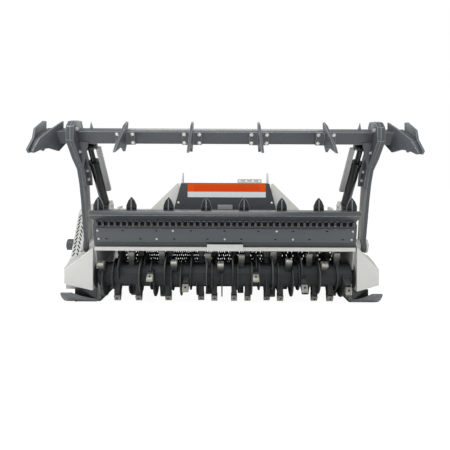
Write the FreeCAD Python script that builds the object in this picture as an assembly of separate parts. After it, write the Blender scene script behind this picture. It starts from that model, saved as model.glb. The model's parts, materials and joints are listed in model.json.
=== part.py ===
import FreeCAD, Part
import math
import os

# A forestry mulching head for a tractor's three-point linkage: an open-fronted housing on two
# skids, a toothed rotor across it, and a tilting push frame that two cylinders hold up.
# Millimetres, +X right seen from the working side, -Y towards the working side, +Z up.
# Sections are written as (y, z) with y measured from the rotor axis; the last step moves
# the whole machine by ROTOR_Y so that the origin is under the middle of it.

os.makedirs("parts", exist_ok=True)
V = FreeCAD.Vector

# Rotor
ROTOR_Y = -154.0
ROTOR_Z = 228.0
TIP_R = 207.0
DRUM_R = 95.0
ROTOR_HALF = 975.0
STUB_R = 45.0
BEARING_GAP = 0.05
FLANGE_R = 110.0
TOOTH_W = 47.0
TABLE_SCALE = ROTOR_HALF / 975.0
DRUM_SIDES = 20
ROUND_SIDES = 24
HOLDER_TOP_R = 158.0
RING_R = 122.0
RING_W = 11.0

# Housing
SIDE_GAP = 13.0
SIDE_IN = ROTOR_HALF + SIDE_GAP
SIDE_T = 12.0
SIDE_OUT = SIDE_IN + SIDE_T
ARM_IN = SIDE_OUT + 80.0
ARM_T = 30.0
ARM_OUT = ARM_IN + ARM_T
SHEET = 10.0
DECK_Z = 640.0
HOOD_R = 262.0
BEAM_Z0 = 436.0
BEAM_Z1 = 463.0
BEAM_Y0 = -140.0
BEAM_DEPTH = 50.0
TAB_W = 271.0
TAB_H = 23.0
TAB_T = 8.0
APRON_T = 10.0
LIP_Y = -262.0
LIP_Z = 746.0
POCKET_PITCH = 45.8
POCKET_COUNT = int(2 * (SIDE_IN - 25.0) / POCKET_PITCH)
POCKET_RIB_W = 14.0
POCKET_RIB_D = 16.0
SPIKE_X = (142.0, 424.0, 702.0, 950.0)
SPIKE_Y = -170.0
SPIKE_W = 78.0
SPIKE_SCALE = (SIDE_IN + 1.0 - SPIKE_W / 2) / SPIKE_X[-1]
SPIKE_H = 100.0
SPIKE_T = 14.0

# Wings and skids
WING_FRONT = -140.0
WING_BACK = -40.0
WING_LEFT_OUT = SIDE_OUT + 250.0
WING_RIGHT_OUT = SIDE_OUT + 200.0
SKID_T = 14.0
SKID_TIP_Y = -130.0
SKID_TIP_Z = 104.0
SKID_SOLE_Y = 60.0
SKID_END_Y = 600.0
SKID_IN = SIDE_IN + 2.0

# Chain curtain
CHAIN_PITCH = 48.0
CHAIN_COUNT = 1 + int(2 * (SIDE_IN - 28.0) / CHAIN_PITCH)
CHAIN_TOP = 396.0
CHAIN_LOW = 48.0

# Drive
CASE_IN = ARM_OUT + 25.0
CASE_OUT = CASE_IN + 115.0
CAP_R = 46.0
CAP_H = 50.0
TUBE_R = 55.0
TUBE_Y = 600.0
TUBE_Z = 640.0
GEARBOX_HALF = 150.0
PTO_R = 17.45
PTO_LEN = 100.0
PTO_GUARD_R = 95.0
PTO_GUARD_LEN = 110.0

# Linkage
HEAD_X = 414.0
HEAD_T = 12.0
LINK_PIN_R = 14.25
LINK_PIN_LEN = 95.0
LINK_Y = 870.0
LINK_Z = 300.0
MAST = 610.0
TOP_BORE_R = 12.75
TOP_CLEVIS_HALF = 45.0
TOP_EAR_T = 15.0
TOP_Y = 865.0

# Push frame
PIVOT_Y = 46.0
PIVOT_Z = 452.0
PIVOT_PIN_R = 25.0
PIN_GAP = 0.05
ARM_END_R = 58.0
DOUBLER_T = 25.0
DOUBLER_IN = ARM_IN - DOUBLER_T
BAR_SIZE = 90.0
BAR_WALL = 8.0
BAR_TILT = 23.0
BAR_Y = -267.0
BAR_Z = 1290.0
BRACE_W = 80.0
FIN_X = (239.0, 712.0)
FIN_T = 18.0
FIN_BASE_W = 141.0
FIN_BASE_H = 95.0
FIN_BASE_T = 14.0
CLAW_REACH = 200.0
CLAW_OUT = ARM_OUT + CLAW_REACH
CLAW_IN = ARM_OUT + 60.0
CLAW_TIP_IN = CLAW_OUT - 60.0
CLAW_T = 14.0

# Cylinders
CYL_X = SIDE_IN + 22.0
CYL_BASE_Y = 207.0
CYL_BASE_Z = 755.0
CYL_TOP_Y = -185.0
CYL_TOP_Z = 1222.0
BARREL_R = 36.0
BARREL_START = 38.0
BARREL_END = 470.0
ROD_R = 20.0
ROD_LEN = 350.0
ROD_GAP = 0.05
EYE_R = 32.0
EYE_W = 56.0
BASE_PIN_R = 18.0
LUG_T = 12.0
LUG_GAP = 6.0


# Helpers
def yz_plate(points, x0, x1):
    wire = Part.makePolygon([V(x0, y, z) for y, z in points + points[:1]])
    return Part.Face(wire).extrude(V(x1 - x0, 0, 0))


def xz_plate(points, y0, y1):
    wire = Part.makePolygon([V(x, y0, z) for x, z in points + points[:1]])
    return Part.Face(wire).extrude(V(0, y1 - y0, 0))


def xy_plate(points, z0, z1):
    wire = Part.makePolygon([V(x, y, z0) for x, y in points + points[:1]])
    return Part.Face(wire).extrude(V(0, 0, z1 - z0))


def box(x0, x1, y0, y1, z0, z1):
    return Part.makeBox(x1 - x0, y1 - y0, z1 - z0, V(x0, y0, z0))


def rod_x(y, z, r, x0, x1):
    return Part.makeCylinder(r, x1 - x0, V(x0, y, z), V(1, 0, 0))


def prism_x(y, z, r, x0, x1, sides=ROUND_SIDES):
    """A round bar across the machine in flats, its corners at radius r."""
    corners = arc_points(y, z, r, 0, 360, sides)[:-1]
    return yz_plate(corners, x0, x1)


def prism_bore(y, z, r, x0, x1, sides=ROUND_SIDES):
    """A round opening in flats, its flats at radius r."""
    return prism_x(y, z, r / math.cos(math.pi / sides), x0, x1, sides)


def sheet_section(path, t):
    """A bent sheet's section: the path and its copy offset by t to the path's right."""
    normals = []
    for (y0, z0), (y1, z1) in zip(path, path[1:]):
        length = math.hypot(y1 - y0, z1 - z0)
        normals.append(((z1 - z0) / length, -(y1 - y0) / length))
    offset = []
    for i, (y, z) in enumerate(path):
        before = normals[max(i - 1, 0)]
        after = normals[min(i, len(normals) - 1)]
        sy = before[0] + after[0]
        sz = before[1] + after[1]
        scale = 2 * t / (sy * sy + sz * sz)
        offset.append((y + sy * scale, z + sz * scale))
    return path + offset[::-1]


def arc_points(cy, cz, r, start_deg, end_deg, count):
    """Points on a circle in the (y, z) section, angles from +y towards +z."""
    step = (end_deg - start_deg) / count
    angles = [math.radians(start_deg + step * i) for i in range(count + 1)]
    return [(cy + r * math.cos(a), cz + r * math.sin(a)) for a in angles]


def mirror(shape):
    return shape.mirror(V(0, 0, 0), V(1, 0, 0))


def cut_corner(shape, a, b, c, inside):
    """Cut off what lies beyond the plane through a, b and c, seen from the point inside."""
    normal = (b - a).cross(c - a).normalize()
    if (inside - a).dot(normal) > 0:
        normal = normal.negative()
    reach = 3000.0
    face = Part.makePlane(reach, reach, V(-reach / 2, -reach / 2, 0))
    block = face.extrude(V(0, 0, reach))
    block.Placement = FreeCAD.Placement(a, FreeCAD.Rotation(V(0, 0, 1), normal))
    return shape.cut(block)


def turned(y, z, angle_deg, cy, cz):
    """A section point turned about (cy, cz); positive leans it towards the working side."""
    a = math.radians(angle_deg)
    dy = y - cy
    dz = z - cz
    return (cy + dy * math.cos(a) - dz * math.sin(a), cz + dy * math.sin(a) + dz * math.cos(a))


nodes = {}


def keep(name, shape):
    nodes[name] = shape


def one(shape):
    return shape.removeSplitter()


# Side plates, with an ear at the back for the drive shaft's tube
side_outline = [(-4, 105), (-127, 549), (-140, DECK_Z), (320, DECK_Z), (TUBE_Y - 70, TUBE_Z + 75),
                (TUBE_Y + 75, TUBE_Z + 75), (TUBE_Y + 75, TUBE_Z - 70), (560, 400),
                (560, SKID_T), (SKID_SOLE_Y + 20, SKID_T)]
side = yz_plate(side_outline, SIDE_IN, SIDE_OUT)
side = side.cut(prism_bore(0, ROTOR_Z, STUB_R + 25, SIDE_IN, SIDE_OUT))
keep("side_plate_right", side)
tube = prism_x(TUBE_Y, TUBE_Z, TUBE_R, -CASE_IN, -GEARBOX_HALF)
keep("side_plate_left", mirror(side).cut(tube))

# Hood round the rotor and the deck over it
hood_arc = arc_points(0, ROTOR_Z, HOOD_R, 118, 62, 8)
hood_path = hood_arc + [(560, 412)]
hood = yz_plate(sheet_section(hood_path, SHEET), -SIDE_IN, SIDE_IN)
keep("rotor_hood", hood)
deck_path = [(-100, DECK_Z), (320, DECK_Z), (500, 540), (560, 412)]
deck = yz_plate(sheet_section(deck_path, SHEET), -SIDE_IN, SIDE_IN).cut(hood)
keep("housing_deck", deck)
rear_tube = box(-SIDE_IN, SIDE_IN, 500, 560, 330, 400)
keep("rear_cross_tube", rear_tube.cut(box(-SIDE_IN, SIDE_IN, 508, 552, 338, 392)))

# Front beam with its raised tab
beam = box(-SIDE_IN, SIDE_IN, BEAM_Y0, BEAM_Y0 + BEAM_DEPTH, BEAM_Z0, BEAM_Z1).cut(hood)
tab = box(-TAB_W / 2, TAB_W / 2, BEAM_Y0 - TAB_T, BEAM_Y0, BEAM_Z0, BEAM_Z1 + TAB_H)
keep("front_beam", one(beam.fuse(tab)))

# Front apron: one bent sheet with a lip on top
apron_path = [(-122, BEAM_Z1), (-128, 502), (-159, 622), (-161, 663), (-279, 715),
              (LIP_Y, LIP_Z), (-112, LIP_Z), (-100, DECK_Z)]
apron = yz_plate(sheet_section(apron_path, APRON_T), -SIDE_IN, SIDE_IN)
apron = apron.cut(deck)
apron = apron.cut(beam)
pockets = []
first_rib = -POCKET_PITCH * POCKET_COUNT / 2
for i in range(POCKET_COUNT + 1):
    x = first_rib + POCKET_PITCH * i
    section = [(-161, 663), (-161 - POCKET_RIB_D, 655), (-159 - POCKET_RIB_D, 630), (-159, 622)]
    pockets.append(yz_plate(section, x - POCKET_RIB_W / 2, x + POCKET_RIB_W / 2))
keep("front_apron", apron)
keep("apron_comb", Part.makeCompound([rib.cut(apron) for rib in pockets]))
wear_path = [(-130, 506), (-156, 608)]
wear = yz_plate(sheet_section(wear_path[::-1], 8.0), -SIDE_IN + 20, SIDE_IN - 20)
keep("apron_wear_plate", wear.cut(apron))

# Spikes behind the lip: pointed plates, each with a rib down its back
spikes = []
for table_x in [-x for x in SPIKE_X] + list(SPIKE_X):
    x = table_x * SPIKE_SCALE
    half = SPIKE_W / 2
    blade = xz_plate([(x - half, LIP_Z), (x + half, LIP_Z), (x + half, LIP_Z + 0.35 * SPIKE_H),
                      (x + 0.6 * half, LIP_Z + 0.72 * SPIKE_H), (x, LIP_Z + SPIKE_H),
                      (x - 0.6 * half, LIP_Z + 0.72 * SPIKE_H), (x - half, LIP_Z + 0.35 * SPIKE_H)],
                     SPIKE_Y, SPIKE_Y + SPIKE_T)
    rib_back = [(SPIKE_Y + SPIKE_T, LIP_Z), (SPIKE_Y + SPIKE_T, LIP_Z + SPIKE_H * 0.8),
                (SPIKE_Y + 55, LIP_Z)]
    spikes.append(one(blade.fuse(yz_plate(rib_back, x - 6, x + 6))))
keep("apron_spikes", Part.makeCompound(spikes))


# Wings: faceted guards in front of the skids, one wider for the belt drive
def wing(outer):
    body = xz_plate([(SIDE_OUT, 545), (SIDE_OUT + 47, 422), (outer, 344), (outer, 190),
                     (SIDE_OUT, 133)], WING_FRONT, WING_BACK)
    bevel = outer - 35
    body = cut_corner(body, V(bevel, WING_FRONT, 0), V(outer, WING_FRONT + 70, 0),
                      V(bevel, WING_FRONT, 500), V(SIDE_OUT, WING_BACK, 200))
    body = cut_corner(body, V(SIDE_OUT + 47, WING_FRONT + 13, 422), V(bevel, WING_FRONT, 290),
                      V(outer, WING_BACK + 90, 344), V(SIDE_OUT, WING_BACK, 200))
    return body.cut(prism_bore(0, ROTOR_Z, FLANGE_R + 5, SIDE_OUT, outer))


wing_right = wing(WING_RIGHT_OUT)
wing_left = mirror(wing(WING_LEFT_OUT))
keep("wing_right", wing_right)
keep("wing_left", wing_left)


# Skids: a sole with its front rolled up, and webs up to the wing
def skid(outer):
    rise = SKID_TIP_Z
    reach = SKID_SOLE_Y - SKID_TIP_Y
    radius = (reach * reach + rise * rise) / (2 * rise)
    top_angle = -90 - math.degrees(math.asin(reach / radius))
    nose = arc_points(SKID_SOLE_Y, radius, radius, top_angle, -90, 8)
    path = nose + [(SKID_END_Y - 40, 0), (SKID_END_Y, 25)]
    sole = yz_plate(sheet_section(path[::-1], SKID_T), SKID_IN, outer)
    sole = cut_corner(sole, V(SKID_IN, SKID_TIP_Y + 90, 0), V(outer - 60, SKID_TIP_Y, 0),
                      V(SKID_IN, SKID_TIP_Y + 90, 100), V(outer, SKID_END_Y, 0))
    return sole


def skid_web(outer, sole, guard):
    x1 = outer - 80
    front = box(SIDE_OUT, x1, -45, -33, 20, 180)
    flank = box(x1 - 12, x1, -33, SKID_END_Y - 80, SKID_T, 100)
    flank = flank.fuse(box(x1 - 12, x1, -33, 60, 20, 100))
    web = one(front.fuse(flank)).cut(sole).cut(guard)
    return largest(web.cut(prism_bore(0, ROTOR_Z, FLANGE_R + 2, SIDE_OUT, x1)))


def largest(shape):
    return max(shape.Solids, key=lambda solid: solid.Volume)


skid_right = skid(WING_RIGHT_OUT)
skid_left = mirror(skid(WING_LEFT_OUT))
keep("skid_right", skid_right.cut(side))
keep("skid_left", skid_left.cut(mirror(side)))
web_left = mirror(skid_web(WING_LEFT_OUT, mirror(skid_left), mirror(wing_left)))
keep("skid_webs", Part.makeCompound([skid_web(WING_RIGHT_OUT, skid_right, wing_right), web_left]))


# Rotor bearings, bolted outside the side plates
def bearing(length):
    flange = prism_x(0, ROTOR_Z, FLANGE_R, SIDE_OUT, SIDE_OUT + 18)
    hub = prism_x(0, ROTOR_Z, 78, SIDE_OUT, SIDE_OUT + length)
    bore = prism_bore(0, ROTOR_Z, STUB_R + BEARING_GAP, SIDE_OUT - 1, SIDE_OUT + 60, DRUM_SIDES)
    return one(flange.fuse(hub)).cut(bore)


keep("rotor_bearings", Part.makeCompound([bearing(75), mirror(bearing(CASE_IN - SIDE_OUT))]))

# Belt casing on the left and its round cap
case_outline = [(-36, 200), (-20, 110), (60, 100), (560, 520), (680, 560), (690, 690), (640, 740),
                (330, 740), (239, 692), (64, 338), (-36, 290)]
case = mirror(yz_plate(case_outline, CASE_IN, CASE_OUT))
keep("belt_casing", case.cut(skid_left))
keep("belt_casing_cap", prism_x(150, 430, CAP_R, -CASE_OUT - CAP_H, -CASE_OUT))
keep("cross_shaft_tube", tube)

# Headstock: two plates, a cross beam, the clevis for the top link and the two lower pins
head_outline = [(515, 480), (560, 300), (LINK_Y - 40, LINK_Z - 45), (LINK_Y + 30, LINK_Z - 45),
                (LINK_Y + 40, LINK_Z + 60), (840, 900), (820, 1035), (760, 1035), (515, 700)]
head = yz_plate(head_outline, HEAD_X, HEAD_X + HEAD_T)
for blank in (deck, hood, rear_tube, tube):
    head = head.cut(blank)
head = largest(head)
head_left = mirror(yz_plate(head_outline, HEAD_X, HEAD_X + HEAD_T))
for blank in (deck, hood, rear_tube, tube):
    head_left = head_left.cut(blank)
head_left = largest(head_left)
keep("headstock_plates", Part.makeCompound([head, head_left]))
top_z = LINK_Z + MAST
cross_beam = box(-HEAD_X, HEAD_X, 740, 820, top_z - 90, top_z - 10)
ear_outline = [(820, top_z - 88), (TOP_Y + 25, top_z - 60), (TOP_Y + 28, top_z + 12),
               (TOP_Y + 10, top_z + 28), (TOP_Y - 20, top_z + 24), (820, top_z - 12)]
ears = []
for x in (-TOP_CLEVIS_HALF, TOP_CLEVIS_HALF - TOP_EAR_T):
    ears.append(yz_plate(ear_outline, x, x + TOP_EAR_T))
top_bore = rod_x(TOP_Y, top_z, TOP_BORE_R, -100, 100)
keep("top_link_bracket", one(cross_beam.fuse(ears)).cut(top_bore))
link_pins = []
for x in (HEAD_X + HEAD_T, -HEAD_X - HEAD_T - LINK_PIN_LEN):
    link_pins.append(rod_x(LINK_Y, LINK_Z, LINK_PIN_R, x, x + LINK_PIN_LEN))
keep("lower_link_pins", Part.makeCompound(link_pins))

# Gearbox, its input shaft and guard
gearbox = box(-GEARBOX_HALF, GEARBOX_HALF, 522, 720, 470, 780).cut(deck).cut(rear_tube)
gearbox = largest(gearbox)
keep("gearbox", gearbox)
keep("input_shaft", Part.makeCylinder(PTO_R, PTO_LEN, V(0, 720, TUBE_Z), V(0, 1, 0)))


def round_y(r, length):
    """A round form along y round the input shaft, in flats."""
    corners = arc_points(0, TUBE_Z, r, 0, 360, ROUND_SIDES)[:-1]
    return xz_plate(corners, 720, 720 + length)


guard_ring = round_y(PTO_GUARD_R, PTO_GUARD_LEN)
guard_bore = round_y(PTO_GUARD_R - 6, PTO_GUARD_LEN)
keep("input_guard", guard_ring.cut(guard_bore))

# Cover over the gearbox, seen above the apron, with side gussets
cover_front = xz_plate([(-471, 500), (471, 500), (471, 700), (408, 938), (-408, 938), (-471, 700)],
                       505, 515)
cover_top = box(-408, 408, 515, 735, 930, 938)
cover = largest(one(cover_front.fuse(cover_top)).cut(deck).cut(hood).cut(rear_tube))
keep("gearbox_cover", cover)
gusset = xz_plate([(HEAD_X + HEAD_T, 400), (HEAD_X + HEAD_T, 938), (446, 938), (690, 700),
                   (690, 400)], 540, 552)
gusset_right = largest(gusset.cut(deck).cut(hood).cut(rear_tube))
gusset_left = largest(mirror(gusset).cut(deck).cut(hood).cut(rear_tube).cut(tube))
keep("headstock_gussets", Part.makeCompound([gusset_right, gusset_left]))
keep("cover_block", box(-68, 68, 470, 505, 700, 742))
hose_bar = box(117, 346, 620, 626, 938, 977)
for i in range(4):
    hose_bar = hose_bar.cut(Part.makeCylinder(8, 20, V(138.5 + 62 * i, 610, 960), V(0, 1, 0)))
keep("hose_bracket", hose_bar)

# Chain rail and the hanging chains at the back
rail = box(-SIDE_IN, SIDE_IN, 440, 480, CHAIN_TOP, CHAIN_TOP + 24).cut(hood)
rail = largest(rail)
keep("chain_rail", rail)
chains = []
for i in range(CHAIN_COUNT):
    x = (i - (CHAIN_COUNT - 1) / 2) * CHAIN_PITCH
    strand = box(x - 4, x + 4, 456, 464, CHAIN_LOW, CHAIN_TOP)
    chains.append(strand)
keep("chain_curtain", Part.makeCompound(chains))


# Pivot brackets: a boss and an outer plate with the pin between them
def pivot_bracket():
    boss = prism_x(PIVOT_Y, PIVOT_Z, 50, SIDE_OUT, ARM_IN - 5)
    pin = prism_x(PIVOT_Y, PIVOT_Z, PIVOT_PIN_R - PIN_GAP, SIDE_OUT, ARM_OUT + 8)
    outer = yz_plate(arc_points(PIVOT_Y, PIVOT_Z, 62, 120, 300, 8)
                     + [(190, 330), (190, 420)], ARM_OUT + 8, ARM_OUT + 23)
    web = box(SIDE_OUT, ARM_OUT + 8, 160, 175, 340, 425)
    return one(boss.fuse([pin, outer, web]))


bracket = pivot_bracket()
keep("pivot_brackets", Part.makeCompound([bracket, mirror(bracket).cut(case)]))

# Push frame arms, with a doubler inside the upper part
arm_front = [(-93, 819), (-128, 944), (-174, 1048), (-271, 1126), (-344, 1203), (-387, 1247),
             (-383, 1344), (-340, 1385), (-290, 1397), (-225, 1402), (-205, 1375)]
arm_back = [(-170, 1300), (-140, 1220), (-60, 1120), (10, 1000), (38, 830)]
arm_outline = arm_front + arm_back + arc_points(PIVOT_Y, PIVOT_Z, ARM_END_R, 8, -170, 10)
arm = yz_plate(arm_outline, ARM_IN, ARM_OUT)
arm = arm.cut(prism_bore(PIVOT_Y, PIVOT_Z, PIVOT_PIN_R, ARM_IN, ARM_OUT))
doubler = yz_plate(arm_outline, DOUBLER_IN, ARM_IN)
doubler = doubler.cut(box(0, 2000, -800, 800, 0, 925))
keep("arm_doublers", Part.makeCompound([doubler, mirror(doubler)]))
keep("push_arm_right", arm)
keep("push_arm_left", mirror(arm))


# Push bar: a square tube, tilted forward
def bar_square(half):
    corners = [(-half, -half), (half, -half), (half, half), (-half, half)]
    return [turned(BAR_Y + y, BAR_Z + z, BAR_TILT, BAR_Y, BAR_Z) for y, z in corners]


bar = yz_plate(bar_square(BAR_SIZE / 2), -DOUBLER_IN, DOUBLER_IN)
bar = bar.cut(yz_plate(bar_square(BAR_SIZE / 2 - BAR_WALL), -DOUBLER_IN, DOUBLER_IN))
keep("push_bar", bar)


# Fins: hooked plates on base plates bolted to the bar's front face
def on_bar(forward, up):
    """A section point given forward of the bar's front face and up along that face."""
    return turned(BAR_Y - BAR_SIZE / 2 - forward, BAR_Z + up, BAR_TILT, BAR_Y, BAR_Z)


fin_points = [on_bar(FIN_BASE_T, -FIN_BASE_H / 2), on_bar(FIN_BASE_T, FIN_BASE_H / 2),
              (-268, 1350), (-262, 1396), (-345, 1358), (-470, 1262), (-560, 1196), (-602, 1149),
              (-545, 1166), (-480, 1186), (-430, 1196), (-380, 1188), (-345, 1172)]
fins = []
for x in (-FIN_X[1], -FIN_X[0], FIN_X[0], FIN_X[1]):
    base = yz_plate([on_bar(0, -FIN_BASE_H / 2), on_bar(0, FIN_BASE_H / 2),
                     on_bar(FIN_BASE_T, FIN_BASE_H / 2), on_bar(FIN_BASE_T, -FIN_BASE_H / 2)],
                    x - FIN_BASE_W / 2, x + FIN_BASE_W / 2)
    blade = yz_plate(fin_points, x - FIN_T / 2, x + FIN_T / 2).cut(bar)
    solid_bar = yz_plate(bar_square(BAR_SIZE / 2), x - FIN_T, x + FIN_T)
    fins.append(one(base.fuse(blade.cut(solid_bar))))
keep("bar_fins", Part.makeCompound(fins))

# Claws: a stub of beam outside each arm, two hooked plates and a web between them
stub = yz_plate(bar_square(BAR_SIZE / 2), ARM_OUT, CLAW_OUT - CLAW_T)
claw_side = [(-235, 1240), (-262, 1340), (-262, 1396), (-345, 1358), (-440, 1285), (-500, 1215),
             (-512, 1160), (-440, 1186), (-380, 1190), (-300, 1176)]
outer_plate = yz_plate(claw_side, CLAW_OUT - CLAW_T, CLAW_OUT)
inner_plate = yz_plate(claw_side, -CLAW_T / 2, CLAW_T / 2)
splay = math.degrees(math.atan2(CLAW_TIP_IN - CLAW_IN, 250.0))
inner_plate.rotate(V(0, -262, 1250), V(0, 0, 1), splay)
inner_plate.translate(V(CLAW_IN, 0, 0))
web_points = [(CLAW_IN + 5, -300), (CLAW_OUT - CLAW_T, -300), (CLAW_OUT - CLAW_T, -470),
              (CLAW_TIP_IN, -470)]
claw_web = xy_plate(web_points, 1290, 1302)
claw_floor = xy_plate(web_points, 1205, 1215)
claw = stub.fuse([outer_plate, inner_plate, claw_web, claw_floor])
claw = one(claw)
keep("claw_right", claw)
keep("claw_left", mirror(claw))

# Knee braces from the bar's underside to the arms
brace_line = [V(DOUBLER_IN - BRACE_W, -300, 1232), V(DOUBLER_IN, -300, 1232), V(DOUBLER_IN, -185, 1050)]
brace = Part.Face(Part.makePolygon(brace_line + brace_line[:1])).extrude(V(0, -9, -5))
solid_bar_all = yz_plate(bar_square(BAR_SIZE / 2), -DOUBLER_IN, DOUBLER_IN)
brace_top = yz_plate([(-312, 1210), (-300, 1262), (-250, 1250), (-250, 1222)],
                     DOUBLER_IN - BRACE_W, DOUBLER_IN)
brace = largest(one(brace.fuse(brace_top)).cut(solid_bar_all))
keep("knee_braces", Part.makeCompound([brace, mirror(brace)]))

# Cylinders: the barrel swings on the housing, the rod's eye goes to the arm
reach_y = CYL_TOP_Y - CYL_BASE_Y
reach_z = CYL_TOP_Z - CYL_BASE_Z
cyl_len = math.hypot(reach_y, reach_z)
along = V(0, reach_y / cyl_len, reach_z / cyl_len)
base_point = V(CYL_X, CYL_BASE_Y, CYL_BASE_Z)
barrel = Part.makeCylinder(BARREL_R, BARREL_END - BARREL_START, base_point + along * BARREL_START,
                           along)
gland = Part.makeCylinder(BARREL_R + 4, 30, base_point + along * (BARREL_END - 30), along)
base_eye = prism_x(CYL_BASE_Y, CYL_BASE_Z, EYE_R + 8, CYL_X - EYE_W / 2, CYL_X + EYE_W / 2)
barrel = one(barrel.fuse([gland, base_eye]))
bore_start = cyl_len - ROD_LEN - 130
bore = Part.makeCylinder(ROD_R + ROD_GAP, BARREL_END - bore_start + 1,
                         base_point + along * bore_start, along)
barrel = barrel.cut(bore)
barrel = barrel.cut(prism_bore(CYL_BASE_Y, CYL_BASE_Z, BASE_PIN_R, CYL_X - 60, CYL_X + 60))
keep("cylinder_barrel_right", barrel)
keep("cylinder_barrel_left", mirror(barrel))
rod = Part.makeCylinder(ROD_R, ROD_LEN, base_point + along * (cyl_len - ROD_LEN), along)
top_eye = prism_x(CYL_TOP_Y, CYL_TOP_Z, EYE_R, CYL_X - EYE_W / 2, CYL_X + EYE_W / 2)
top_pin = prism_x(CYL_TOP_Y, CYL_TOP_Z, 17, CYL_X - EYE_W / 2 - 16, DOUBLER_IN - 3)
pin_head = prism_x(CYL_TOP_Y, CYL_TOP_Z, 25, CYL_X - EYE_W / 2 - 24, CYL_X - EYE_W / 2 - 16)
rod = one(rod.fuse([top_eye, top_pin, pin_head]))
keep("cylinder_rod_right", rod)
keep("cylinder_rod_left", mirror(rod))
across = V(0, along.z, -along.y)
guard_x = CYL_X - EYE_W / 2 - 14
start = base_point + along * (cyl_len - 500)
guard_pts = [start, start + along * 20 + across * 14, start + along * 480 + across * 14,
             start + along * 500, start + along * 480 - across * 14, start + along * 20 - across * 14]
guard_pts = [V(guard_x - 14, p.y, p.z) for p in guard_pts]
guard = Part.Face(Part.makePolygon(guard_pts + guard_pts[:1])).extrude(V(12, 0, 0))
guard = guard.cut(top_pin).cut(pin_head)
keep("cylinder_guard_right", guard)
keep("cylinder_guard_left", mirror(guard))

# Lugs that hold the cylinders' base pins, on posts from the deck
lug_outline = [(CYL_BASE_Y - 80, DECK_Z), (CYL_BASE_Y + 90, DECK_Z), (CYL_BASE_Y + 48, CYL_BASE_Z + 10)]
lug_outline += arc_points(CYL_BASE_Y, CYL_BASE_Z, 42, 10, 170, 6)
lugs = []
inner_lug = CYL_X - BARREL_R - LUG_GAP - LUG_T
outer_lug = CYL_X + BARREL_R + LUG_GAP
for x in (inner_lug, outer_lug):
    lugs.append(yz_plate(lug_outline, x, x + LUG_T))
lug_base = box(inner_lug, outer_lug + LUG_T, CYL_BASE_Y - 80, CYL_BASE_Y + 90, DECK_Z, DECK_Z + 14)
base_pin = prism_x(CYL_BASE_Y, CYL_BASE_Z, BASE_PIN_R - PIN_GAP, inner_lug - 12, outer_lug + LUG_T + 6)
lug = one(lugs[0].fuse([lugs[1], lug_base, base_pin]))
keep("cylinder_lugs", Part.makeCompound([lug, mirror(lug)]))

# Rotor drum with its rings and stub shafts, in one piece
RING_X = (100.0, 265.0, 410.0, 570.0, 860.0)
drum = prism_x(0, ROTOR_Z, DRUM_R, -ROTOR_HALF, ROTOR_HALF, DRUM_SIDES)
stubs = prism_x(0, ROTOR_Z, STUB_R, -SIDE_OUT - 50, SIDE_OUT + 50, DRUM_SIDES)
rings = []
for table_x in [-x for x in RING_X] + list(RING_X):
    x = table_x * TABLE_SCALE
    rings.append(prism_x(0, ROTOR_Z, RING_R, x - RING_W / 2, x + RING_W / 2, DRUM_SIDES))
drum = one(drum.fuse([stubs] + rings))
keep("rotor_drum", drum)

# Teeth: (x, angle up from straight ahead), one row per pair of opposite teeth. Like the rings'
# table it is written for a rotor 1950 wide, and TABLE_SCALE spreads it over any other
TEETH = [(-935, 45), (-830, -60), (-725, 80), (-668, -65), (-560, 12), (-490, 85), (-440, -70),
         (-385, 50), (-295, -13), (-185, -75), (-130, 75), (-80, -60), (-32, 45), (72, -60),
         (128, 70), (178, -68), (232, 12), (330, -75), (378, 85), (430, -62), (485, 55),
         (598, -13), (650, 75), (700, -72), (752, 45), (815, -62), (866, 80), (930, -20)]
holders = []
teeth = []
holder_shape = [(-DRUM_R * 0.9, -46), (-132, -44), (-HOLDER_TOP_R, -6), (-HOLDER_TOP_R, 14),
                (-DRUM_R * 0.86, 38)]
tooth_shape = [(-132, -44), (-196, -52), (-200, -34), (-176, 6), (-HOLDER_TOP_R, -6)]
for table_x, angle in TEETH:
    x = table_x * TABLE_SCALE
    for half_turn in (0, 180):
        spin = -(angle + half_turn)
        for outline, store, width in ((holder_shape, holders, TOOTH_W - 6), (tooth_shape, teeth, TOOTH_W)):
            piece = yz_plate([(y, ROTOR_Z + z) for y, z in outline], x - width / 2, x + width / 2)
            piece.rotate(V(0, 0, ROTOR_Z), V(1, 0, 0), spin)
            if store is holders:
                piece = piece.cut(drum)
            store.append(piece)
keep("tooth_holders", Part.makeCompound(holders))
keep("rotor_teeth", Part.makeCompound(teeth))

total = 0
for name, shape in nodes.items():
    placed = shape.copy()
    placed.translate(V(0, ROTOR_Y, 0))
    placed.exportStep("parts/" + name + ".step")
    print(name, len(shape.Solids), shape.isValid(), round(shape.Volume / 1e3))
    total += shape.Volume
box_all = Part.makeCompound(list(nodes.values())).BoundBox
print("nodes", len(nodes), "volume m3", round(total / 1e9, 4))
print("x", round(box_all.XMin), round(box_all.XMax), "y", round(box_all.YMin), round(box_all.YMax),
      "z", round(box_all.ZMin), round(box_all.ZMax), "centre y", (box_all.YMin + box_all.YMax) / 2)
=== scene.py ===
# %% [markdown]
# # A forestry mulching head
# The machine stands on its two skids with its open side towards us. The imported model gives
# every plate, shaft and pin at its real size. This file gives each of them its finish, rounds
# the cut edges, and adds the small things: bolts, chain links, slots and the label's bands.

# %% Load the frame
import json
import math

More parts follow.
